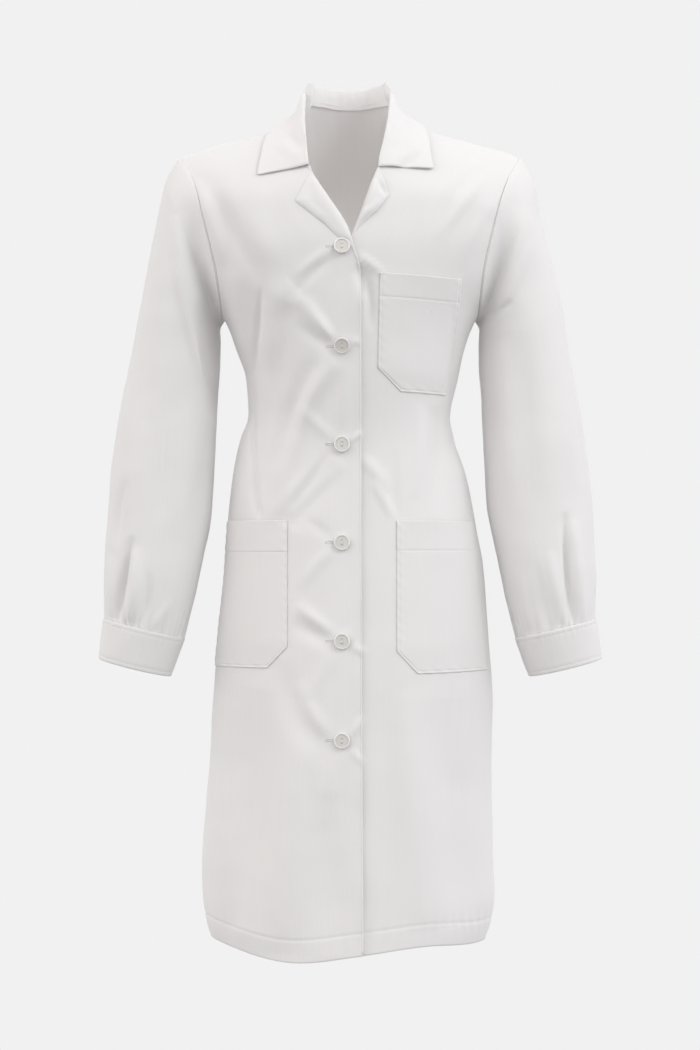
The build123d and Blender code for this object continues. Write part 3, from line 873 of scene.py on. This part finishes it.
def neck_seam(share, hand):
    """Points of the neck's edge, from the nape at 0 over the shoulder to the notch at 1."""
    turn = np.clip(share / 0.5, 0, 1) * np.pi / 2
    behind = np.arcsin(NECK_HALF * np.sin(turn) / SHOULDER_HALF)
    back = body(np.pi - hand * behind, nape_row(behind) + 2.5, -1.6)
    z = neck_height(share)
    front = on_front((right_edge if hand < 0 else left_edge)(z), z, 0.6, hand < 0)
    ahead = smooth((share - 0.42) / 0.16)[:, None]
    return back * (1 - ahead) + front * ahead


def collar_side(stations, hand, columns):
    """The seam, roll and edge lines of one half of the collar."""
    share = np.linspace(0, 1, columns)
    at = [station[0] for station in stations]
    seam = neck_seam(share, hand)
    rise = np.stack([profile(*zip(at, [s[1][k] for s in stations]))(share) for k in range(3)], -1)
    x, z = (profile(*zip(at, [s[2][k] for s in stations]))(share) for k in range(2))
    turn = smooth((share - 0.44) / 0.12)[:, None]
    return seam, seam + rise, on_back(x, z, 4.0) * (1 - turn) + on_front(x, z, 4.0) * turn


def on_back(x, z, out):
    angle, row = find(x, z, True)
    return body(angle, row, out)


def collar(tree):
    half = 96
    right, left = collar_side(RIGHT_COLLAR, -1, half), collar_side(LEFT_COLLAR, 1, half)
    seam, roll, edge = (np.concatenate([r[::-1], l[1:]]) for r, l in zip(right, left))
    away = roll * (1, 1, 0)
    away /= np.maximum(np.linalg.norm(away, axis=1, keepdims=True), 1)
    soft = smooth(np.linalg.norm(roll - seam, axis=1, keepdims=True) / 20)
    drop = edge - roll
    level, fall = drop * (1, 1, 0), drop * (0, 0, 1)
    knots = [
        (0.0, seam),
        (0.14, seam * 0.45 + roll * 0.55 - away * 0.8 * soft),
        (0.25, roll - (0, 0, 1.5) * soft),
        (0.29, roll + away * 1.6 * soft + (0, 0, 0.9) * soft),
        (0.34, roll + away * 3.8 * soft - (0, 0, 1.4) * soft),
        (0.60, roll + level * (0.42 - 0.11 * soft) + fall * (0.42 + 0.08 * soft)),
        (0.80, roll + level * (0.7 - 0.06 * soft) + fall * (0.7 + 0.06 * soft)),
        (1.0, edge),
    ]
    share = np.concatenate([np.linspace(0, 0.36, 26)[:-1], 0.36 + 0.64 * places(62, 2.0, 4.0, 0.9)])
    grid = np.empty((len(share), len(seam), 3))
    for column in range(len(seam)):
        for axis in range(3):
            line = profile(*((s, points[column, axis]) for s, points in knots))
            grid[:, column, axis] = line(share)
    mask = smooth((share - 0.32) / 0.06)[:, None, None]
    for passes in (12, 6, 3):
        moved = keep_clear(grid, tree) - grid
        grid = grid + relaxed(moved, passes) * mask
    front = smooth((20 - grid[..., 1]) / 30) * mask[..., 0]
    lift = sum(fold_height(grid[..., 0], grid[..., 2], *fold) for fold in COLLAR_FOLDS)
    lift = lift * front + 0.5 * uneven(grid, 34, 9) * mask[..., 0]
    stand = np.exp(-(((share[:, None] - 0.13) / 0.09) ** 2))
    lift = lift + 0.35 * np.sin(grid[..., 0] / 1.9 + 2 * uneven(grid, 20, 8)) * stand
    grid = grid - grid_normals(grid) * lift[..., None]
    return cloth("collar_cloth", grid[:, ::-1], COLLAR_THICKNESS, WHITE)


# ---- pockets: each side is a line of (x, z) from the top to the bottom
def pocket(name, inner, outer, on_right, gape, band):
    depth = inner[0][1] - inner[-1][1]
    t = places(depth, 2.6, 5.0, 0.9)
    extra = (np.arange(-4, 4.1, 1.0) + band) / depth
    t = np.sort(np.concatenate([t, extra]))
    sides = []
    for line in (inner, outer):
        line = np.array(line, float)
        drop = (line[0, 1] - line[:, 1]) / (line[0, 1] - line[-1, 1])
        sides.append(np.stack([np.interp(t, drop, line[:, k]) for k in range(2)], -1))
    width = abs(outer[0][0] - inner[0][0])
    s = places(width, 2.6, 5.0, 0.9)[None, :]
    flat = sides[0][:, None] * (1 - s[..., None]) + sides[1][:, None] * s[..., None]
    t = t[:, None]
    across = np.linalg.norm(sides[1] - sides[0], axis=1)[:, None]
    rim = np.minimum(np.minimum(s, 1 - s) * across, (1 - t) * depth)
    middle = np.sin(np.pi * s) ** 0.6
    full = middle * smooth((1 - t) / 0.2)
    wave = np.sin((flat[..., 0] + 1.3 * flat[..., 1]) / 2.6) * np.exp(-((rim / 8) ** 2))
    out = 1.25 + 1.5 * full + gape * middle * np.exp(-t * 7) + 0.22 * wave
    out = out - 0.45 * np.exp(-(((rim - 2.2) / 0.9) ** 2))
    out = out + 0.2 * (t * depth < band) - 0.3 * np.exp(-(((t * depth - band) / 1.1) ** 2))
    grid = on_front(flat[..., 0], flat[..., 1], out, on_right)
    if inner[0][0] > outer[0][0]:
        grid = grid[:, ::-1]
    return cloth(name, grid, POCKET_THICKNESS, WHITE), grid


# ---- sleeves: (share, inner point, outer point, half depth, middle), each point an (x, z)
SLEEVE = (
    (0.00, (148, -250), (200, -62), 60, 0),
    (0.10, (150, -257), (214, -92), 60, 0),
    (0.20, (151.5, -264), (224, -136), 60, 0),
    (0.32, (151, -276), (237, -200), 59, 0),
    (0.44, (151, -300), (248, -256), 59, -1),
    (0.56, (153, -344), (262, -332), 59, -4),
    (0.68, (156, -400), (272, -391), 58, -8),
    (0.80, (160, -470), (281, -476), 56, -14),
    (0.90, (173, -540), (284, -546), 52, -22),
    (0.97, (186, -598), (283.5, -582), 46, -28),
    (1.00, (193, -622), (282, -600), 42.5, -30),
)
SLEEVE_COLUMNS = 136
# (start, middle, end, width, lift), as seen from the front
RIGHT_SLEEVE_FOLDS = [
    ((-188, -118), (-172, -189), (-156, -267), 11, -9.0),
    ((-199, -187), (-183, -292), (-156, -351), 5, 3.6),
    ((-199, -135), (-185, -232), (-165, -329), 9, 6.0),
    ((-176, -232), (-165, -301), (-153, -370), 8, -9.0),
    ((-165, -175), (-156, -255), (-151, -324), 9, -7.5),
    ((-208, -118), (-215, -232), (-220, -370), 18, 3.6),
    ((-229, -187), (-234, -301), (-238, -427), 16, -2.7),
    ((-183, -347), (-192, -427), (-199, -507), 12, 3.0),
    ((-163, -370), (-167, -438), (-183, -530), 10, -3.3),
    ((-266, -603), (-264, -564), (-248, -503), 4.5, -9.8),
    ((-254, -601), (-240, -564), (-245, -516), 7, 6.0),
    ((-273, -596), (-275, -564), (-273, -525), 5, 3.6),
    ((-245, -608), (-227, -583), (-229, -542), 4.5, -3.6),
    ((-229, -615), (-218, -596), (-204, -576), 5, 2.4),
    ((-256, -438), (-267, -473), (-268, -516), 5, -3.0),
]
LEFT_SLEEVE_FOLDS = [
    ((190, -118), (172, -182), (156, -267), 10, -8.0),
    ((206, -164), (185, -232), (156, -267), 6, 3.6),
    ((204, -124), (181, -189), (163, -251), 9, 5.1),
    ((176, -152), (160, -214), (153, -258), 7, -7.5),
    ((223, -135), (240, -232), (247, -370), 20, 3.6),
    ((195, -267), (199, -370), (208, -484), 15, -3.0),
    ((172, -278), (176, -381), (188, -484), 12, 2.7),
    ((156, -253), (172, -246), (185, -232), 5, -3.0),
    ((254, -603), (247, -553), (245, -475), 4.5, -9.8),
    ((264, -601), (260, -553), (256, -484), 6, 5.4),
    ((285, -606), (283, -583), (290, -548), 4, -5.2),
    ((240, -603), (234, -564), (227, -519), 6, 3.9),
    ((224, -608), (218, -576), (213, -530), 5, -2.7),
    ((204, -610), (199, -583), (195, -542), 5, 2.1),
]


def armhole_ring(hand):
    """The armhole's points: from the shoulder down the front to the underarm and up the back."""
    rows = np.linspace(0.5, -10 - UNDERARM_Z, 200)
    front = seam_angle(rows, hand, armhole_front)
    rise = 0
    if hand < 0:
        plain = body_base(front, rows)
        rise = over(front, rows, plain[..., 0], plain[..., 2])
    ahead = body(front, rows, rise - 1.5)
    behind = body(np.pi - seam_angle(rows, hand, armhole_back), rows, -1.5)
    half = SLEEVE_COLUMNS // 2 + 1
    return np.concatenate([spread(ahead, half), spread(behind, half)[::-1][1:]])


def sleeve_section(hand, share, turn, out):
    """Points of the plain sleeve: turn 0 is its outer side and 90 degrees its front."""
    at = [section[0] for section in SLEEVE]
    points = []
    for k in (1, 2):
        x, z = (profile(*zip(at, [section[k][i] for section in SLEEVE]))(share) for i in range(2))
        points.append(np.stack([hand * x, profile(*zip(at, [s[4] for s in SLEEVE]))(share), z], -1))
    inner, outer = points
    depth = profile(*zip(at, [section[3] for section in SLEEVE]))(share)
    run = (outer - inner) / 2
    half = np.linalg.norm(run, axis=-1, keepdims=True)
    across = run / half * (half + out[..., None]) * np.cos(turn)[..., None]
    return (inner + outer) / 2 + across - np.array((0, 1, 0)) * (np.sin(turn) * (depth + out))[..., None]


def sleeve(name, hand, folds):
    share = places(560, 2.5, 9.0, 1.0)[:, None] * np.ones(SLEEVE_COLUMNS + 1)
    turn = np.linspace(0, 2 * np.pi, SLEEVE_COLUMNS + 1)[None, :] * np.ones_like(share)
    base = sleeve_section(hand, share, turn, np.zeros_like(share))
    base[:, -1] = base[:, 0]
    x, z = base[..., 0], base[..., 2]
    lift = sum(fold_height(x, z, *fold) for fold in folds) * smooth((np.sin(turn) + 0.1) / 0.5)
    behind = sum(fold_height(x, z, *fold) for fold in folds[2:8])
    lift = lift + behind * smooth((-np.sin(turn) + 0.1) / 0.5)
    lift = lift + 1.5 * uneven(base, 60, 5) + 0.45 * uneven(base, 24, 6)
    near = np.exp(-(((1 - share) / 0.03) ** 2))
    lift = lift + near * (np.sin(turn * 27 + 2 * np.sin(turn * 5)) + 0.6 * np.sin(turn * 41 + 1.3))
    grown = sleeve_section(hand, share, turn, lift)
    join = smooth(share / 0.11)[..., None]
    grid = armhole_ring(hand)[None] * (1 - join) + grown * join
    puff = 2.6 * (smooth(share / 0.010) - smooth((share - 0.012) / 0.13))
    grid = grid - hand * grid_normals(grid, True) * puff[..., None]
    grid[:, -1] = grid[:, 0]
    made = cloth(name, grid if hand < 0 else grid[:, ::-1], CLOTH, WHITE, wrap=True)
    return made, grid


PLACKET_LENGTH = 110.0


def placket(name, hand, grid):
    """The strip that finishes the sleeve's slit at the back, above the cuff."""
    below = np.linalg.norm(np.diff(grid[:, 0], axis=0), axis=1)[::-1].cumsum()[::-1]
    first = np.searchsorted(-below, -PLACKET_LENGTH)
    middle = round(SLEEVE_COLUMNS * at_back(CUFF_SLIT) / (2 * math.pi))
    outward = -hand * grid_normals(grid, True)
    strip = (grid + outward * 1.4)[first:, middle - 3:middle + 4]
    made = cloth(name, strip if hand < 0 else strip[:, ::-1], POCKET_THICKNESS, WHITE)
    return made, [strip[2:, 1], strip[2:, -2], strip[2, 1:-1]]


# ---- cuffs: an oval band that overlaps itself at the back
CUFF_INNER, CUFF_OUTER = np.array((193.0, 0, -620.0)), np.array((282.0, 0, -598.0))
CUFF_HEIGHT = 46.0
CUFF_DEPTHS = (43.0, 39.0)
CUFF_Y = -30.0
CUFF_SHRINK = 5.0
CUFF_SLIT = -8.0
CUFF_OVERLAP = 34.0
CUFF_HALF = 45.84
CUFF_HOLE = 12.0  # the buttonhole's middle, outward from the sleeve's middle


def cuff_point(hand, drop, turn, out):
    """A point of the cuff: drop below its top edge, turn from its outer side through the front."""
    run = (CUFF_OUTER - CUFF_INNER) / (2 * CUFF_HALF)
    down = np.array((run[2], 0, -run[0]))
    share = drop / CUFF_HEIGHT
    wide = CUFF_HALF - CUFF_SHRINK * share + out
    deep = CUFF_DEPTHS[0] + (CUFF_DEPTHS[1] - CUFF_DEPTHS[0]) * share + out
    point = (CUFF_INNER + CUFF_OUTER) / 2 + np.array((0, CUFF_Y, 0)) + down * drop[..., None]
    point = point + run * (wide * np.cos(turn))[..., None]
    point = point - np.array((0, 1, 0)) * (deep * np.sin(turn))[..., None]
    return point * (hand, 1, 1)


def at_back(across):
    """The turn, past the front and the inner side, of the cuff's back at a distance outward."""
    return 2 * math.pi - math.acos(across / CUFF_HALF)


def cuff_ends():
    """The turns where the band starts and ends, more than once round."""
    return at_back(CUFF_SLIT + 1) - 2 * math.pi, at_back(CUFF_SLIT + CUFF_OVERLAP)


def cuff(name, hand):
    """The band starts at the slit, goes round, and passes over its own start as the tab."""
    start, end = cuff_ends()
    slit = at_back(CUFF_SLIT)
    turn = start + (end - start) * places(305, 1.7)[None, :]
    late = smooth((turn - slit + 0.10) / 0.12)
    drop = CUFF_HEIGHT * places(CUFF_HEIGHT, 2.4, 6.0, 0.9)[:, None]
    rim = np.minimum(drop, CUFF_HEIGHT - drop)
    out = 1.8 + 2.0 * late - 0.4 * np.exp(-(((rim - 4.5) / 0.9) ** 2)) - 0.3 * np.exp(-((rim / 1.2) ** 2))
    turn, drop, out = np.broadcast_arrays(turn, drop, out)
    plain = cuff_point(hand, drop, turn, out)
    pucker = 0.28 * np.sin(turn * 46 + 2 * np.sin(turn * 7)) * np.exp(-(((drop - 5) / 6) ** 2))
    out = out + (0.6 * uneven(plain, 24, 7) + pucker) * (1 - late)
    grid = cuff_point(hand, drop, turn, out)
    return cloth(name, grid if hand < 0 else grid[:, ::-1], CUFF_THICKNESS, WHITE)


def cuff_lines(hand):
    """Where the cuff's edge stitching runs, along both edges and down the tab's end."""
    start, end = cuff_ends()
    lines = []
    for drop in (4.5, CUFF_HEIGHT - 4.5):
        turn = np.linspace(start + 0.3, end - 0.11, 300)
        lines.append(cuff_point(hand, np.full(300, drop), turn, np.where(turn > end - 0.8, 5.0, 3.0)))
    drop = np.linspace(4.5, CUFF_HEIGHT - 4.5, 40)
    lines.append(cuff_point(hand, drop, np.full(40, end - 0.11), np.full(40, 5.0)))
    return lines


# ---- stitching: short raised threads laid on a surface
HOLE_LENGTH, HOLE_WIDTH = 17.0, 3.4  # a buttonhole's stitches, without the bars at its ends
HOLE_BAR = 1.6
HOLE_SLIT = 0.3  # half the width of the slit
HOLE_PITCH = 0.5
SATIN_THREAD = {"length": 1.3, "gap": 0.2, "radius": 0.26}
TACK_THREAD = {"length": 1.5, "gap": 0.3, "radius": 0.3}
EDGE_STITCH = 2.2  # from a pocket's edge to its stitching


def stitches(name, lines, tree, length=2.2, gap=0.9, radius=0.22):
    """One mesh with a stitch every few millimetres along each line."""
    ring = ((1, 0), (0, 1), (-1, 0), (0, -1))
    rings = ((-0.5, 0.3), (-0.28, 1.0), (0.28, 1.0), (0.5, 0.3))
    vertices, faces = [], []
    for line in lines:
        total = np.linalg.norm(np.diff(line, axis=0), axis=1).sum()
        count = max(1, round(total / (length + gap)))
        points = spread(line, 2 * count + 1)
        for k in range(count):
            run = points[2 * k + 2] - points[2 * k]
            spot, normal, _, _ = tree.find_nearest(Vector(points[2 * k + 1] * MM))
            spot, normal = np.array(spot) / MM, np.array(normal)
            if normal @ (points[2 * k + 1] - spot) < 0:
                normal = -normal
            run = run - normal * (run @ normal)
            run = run / max(np.linalg.norm(run), 1e-9)
            side = np.cross(run, normal)
            base = len(vertices)
            for along, size in rings:
                middle = spot + normal * radius * (0.75 * size) + run * along * length
                for c, s in ring:
                    vertices.append(middle + (side * c + normal * s) * radius * size)
            for a in range(0, 12, 4):
                for b in range(4):
                    c = (b + 1) % 4
                    faces.append((base + a + b, base + a + c, base + a + 4 + c, base + a + 4 + b))
            faces.append((base + 3, base + 2, base + 1, base))
            faces.append((base + 12, base + 13, base + 14, base + 15))
    return make_object(name, vertices, faces, THREAD)


def satin(point):
    """Short lines side by side round a slit, for its buttonhole stitches. point(u, v) is a place on
    the surface, u along the slit and v across it."""
    lines = []
    reach, half = HOLE_LENGTH / 2, HOLE_WIDTH / 2
    for u in np.arange(-reach, reach + 0.1, HOLE_PITCH):
        for side in (-1, 1):
            lines.append(np.array([point(u, side * HOLE_SLIT), point(u, side * half)]))
    for v in np.arange(-half, half + 0.1, HOLE_PITCH):
        for end in (-1, 1):
            lines.append(np.array([point(end * reach, v), point(end * (reach + HOLE_BAR), v)]))
    return lines


def inset(grid, distance):
    """A line inside the two sides and the bottom of a pocket, at a distance from them."""
    step = np.linalg.norm(grid[:, 1] - grid[:, 0], axis=-1).max()
    columns = max(1, round(distance / step))
    last = -1 - columns
    left, right = grid[:-columns, columns], grid[:-columns, last]
    return np.concatenate([left, grid[last, columns:-columns], right[::-1]])


def sew(name, lines, tree, body_name, **sizes):
    """Stitches in thread on a surface, riding on a body."""
    made = stitches(name, lines, tree, **sizes)
    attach(made, body_name)
    return made


def hem_stitches(back_side):
    """The line of the hem's stitching, on the front or on the back."""
    x = np.linspace(-150, 150, 400)
    z = hem_line(x) + HEM_WIDTH
    return on_back(x, z, 1.0) if back_side else on_front(x, z, 1.0)


def bar_tack(x, z, length):
    """Short stitches side by side across a line, which hold a seam's end."""
    lines = []
    for v in np.arange(-length / 2, length / 2 + 0.1, 0.55):
        ends = np.array([-0.9, 0.9])
        lines.append(on_front(x + ends, z + v + 0 * ends, 4.0))
    return lines


def front_hole(z):
    """Places round one front buttonhole, u along it and v across."""
    return lambda u, v: on_front(np.array([BUTTONHOLE_X + u]), np.array([z + v]), 1.2, True)[0]


def cuff_hole(hand):
    """Places round the cuff's buttonhole, on the tab at the back."""
    def point(u, v):
        turn = np.array(at_back(CUFF_HOLE + u))
        return cuff_point(hand, np.array(CUFF_HEIGHT / 2 + v), turn, np.array(5.2))
    return point


# ---- everything in its place
right_front = front_panel("right_front_cloth", -1, right_edge, True)
left_front = front_panel("left_front_cloth", 1, left_edge, False)
back = back_panel()
right_facing = facing("right_facing_cloth", -1, right_edge, right_lapel, True, 2.2, RIGHT_LAPEL_FOLDS)
left_facing = facing("left_facing_cloth", 1, left_edge, left_lapel, False, 3.4, LEFT_LAPEL_FOLDS)
collar_piece = collar(guard())
chest, chest_grid = pocket(
    "chest_pocket_cloth",
    ((33.6, -207), (31.5, -313), (57, -339)),
    ((126, -211), (120, -280), (109, -341)),
    False, 2.2, 26,
)
right_hip, right_hip_grid = pocket(
    "right_hip_pocket_cloth",
    ((-69.5, -485.5), (-69.5, -627), (-92, -651)),
    ((-141, -486), (-146, -560), (-155, -652)),
    True, 2.6, 35,
)
left_hip, left_hip_grid = pocket(
    "left_hip_pocket_cloth",
    ((52.7, -485.5), (52.7, -632), (76, -657)),
    ((141, -487), (147, -560), (157, -656)),
    False, 2.6, 33,
)
sides = {}
for hand, side, folds in ((-1, "right", RIGHT_SLEEVE_FOLDS), (1, "left", LEFT_SLEEVE_FOLDS)):
    made, grid = sleeve(f"{side}_sleeve_cloth", hand, folds)
    band = cuff(f"{side}_cuff_band", hand)
    sides[side] = (made, band, *placket(f"{side}_placket_cloth", hand, grid))
coat_trees = {
    "right": tree_of(right_front), "left": tree_of(left_front), "back": tree_of(back),
    "chest": tree_of(chest), "right_hip": tree_of(right_hip), "left_hip": tree_of(left_hip),
}


front_hem = hem_stitches(False)
sew("right_hem_stitches", [front_hem[front_hem[:, 0] < 10]], coat_trees["right"], "coat")
sew("left_hem_stitches", [front_hem[front_hem[:, 0] > 16]], coat_trees["left"], "coat")
sew("back_hem_stitches", [hem_stitches(True)], coat_trees["back"], "coat")
BANDS = {  # how far below its top edge each pocket's band is stitched
    "chest": (chest_grid, (26,)),
    "right_hip": (right_hip_grid, (35, 32)),
    "left_hip": (left_hip_grid, (33, 30)),
}
for name, (grid, band) in BANDS.items():
    depth = np.concatenate([[0], np.cumsum(np.linalg.norm(np.diff(grid[:, 20], axis=0), axis=1))])
    lines = [inset(grid, EDGE_STITCH)]
    for drop in band:
        lines.append(grid[np.abs(depth - drop).argmin(), 2:-2])
    sew(f"{name}_pocket_stitches", lines, coat_trees[name], "coat")


tacks = bar_tack(74.4, -213.5, 12) + bar_tack(91, -249, 2.4)  # beside the pen slot and below it
sew("chest_pocket_tacks", tacks, coat_trees["chest"], "coat", **TACK_THREAD)
holes = [line for _, _, z in BUTTONS for line in satin(front_hole(z))]
front_holes = sew("buttonhole_stitches", holes, coat_trees["right"], "coat", **SATIN_THREAD)
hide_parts("front_buttonholes")
for hand, side in ((-1, "right"), (1, "left")):
    tree = tree_of(sides[side][1])
    sew(f"{side}_cuff_stitches", cuff_lines(hand), tree, f"{side}_sleeve")
    sew(f"{side}_placket_stitches", sides[side][3], tree_of(sides[side][2]), f"{side}_sleeve")
    hole = satin(cuff_hole(hand))
    made = sew(f"{side}_cuff_hole_stitches", hole, tree, f"{side}_sleeve", **SATIN_THREAD)
    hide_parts(f"{side}_cuff_buttonhole")
COLLAR_NODES = ["upper_collar", "under_collar", "collar_interlining"]
SHOULDERS = ["left_front", "right_front", "back_panel"]
# each piece on the coat's body: the CAD nodes it replaces, its cut's width and length in metres and
# area in square metres, how it is held, and what it hangs from
COAT_PIECES = (
    (right_front, ["right_front"], 0.27, 0.99, 0.215, "hung", ["back_panel"]),
    (left_front, ["left_front"], 0.28, 0.99, 0.225, "hung", ["back_panel"]),
    (back, ["back_panel"], 0.48, 0.99, 0.42, "hung", ["left_front", "right_front"]),
    (right_facing, ["right_front_facing"], 0.15, 0.93, 0.085, "folded", ["right_front"]),
    (left_facing, ["left_front_facing"], 0.15, 0.93, 0.085, "folded", ["left_front"]),
    (collar_piece, COLLAR_NODES, 0.46, 0.09, 0.036, "folded", SHOULDERS),
    (chest, ["chest_pocket"], 0.092, 0.134, 0.0118, "stretched", ["left_front"]),
    (right_hip, ["right_hip_pocket"], 0.118, 0.172, 0.0185, "stretched", ["right_front"]),
    (left_hip, ["left_hip_pocket"], 0.125, 0.176, 0.0200, "stretched", ["left_front"]),
)
for piece, nodes, width, length, area, held, carriers in COAT_PIECES:
    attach(piece, "coat")
    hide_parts(*nodes)
    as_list(carriers)
for hand, side, carriers in ((-1, "right", SHOULDERS[1:]), (1, "left", SHOULDERS[::2])):
    made, band, strip, _ = sides[side]
    arm = f"{side}_sleeve"
    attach(band, arm)
    for piece in (made, strip):
        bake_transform(piece)
    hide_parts(arm)
    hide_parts(f"{arm}_placket")
    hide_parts(f"{side}_cuff", f"{side}_cuff_interlining")
    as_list(carriers)
for name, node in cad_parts.items():
    if node.hide_render:
        continue
    node.data.materials.clear()
    if "button" not in name:
        node.data.materials.append(THREAD)
        continue
    # Each button: the sunken face gets the darker plastic, painted shade, and the rim the lighter plastic, a
    # painted highlight.
    node.data.materials.append(BUTTON_PAINTED_SHADE)
    node.data.materials.append(BUTTON_RIM_PAINTED_HIGHLIGHT)
    middle = sum(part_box(name), Vector()) / 2
    for face in node.data.polygons:
        away = node.matrix_world @ face.center - middle
        face.material_index = int(math.hypot(away.x, away.z) > BUTTON_FACE)
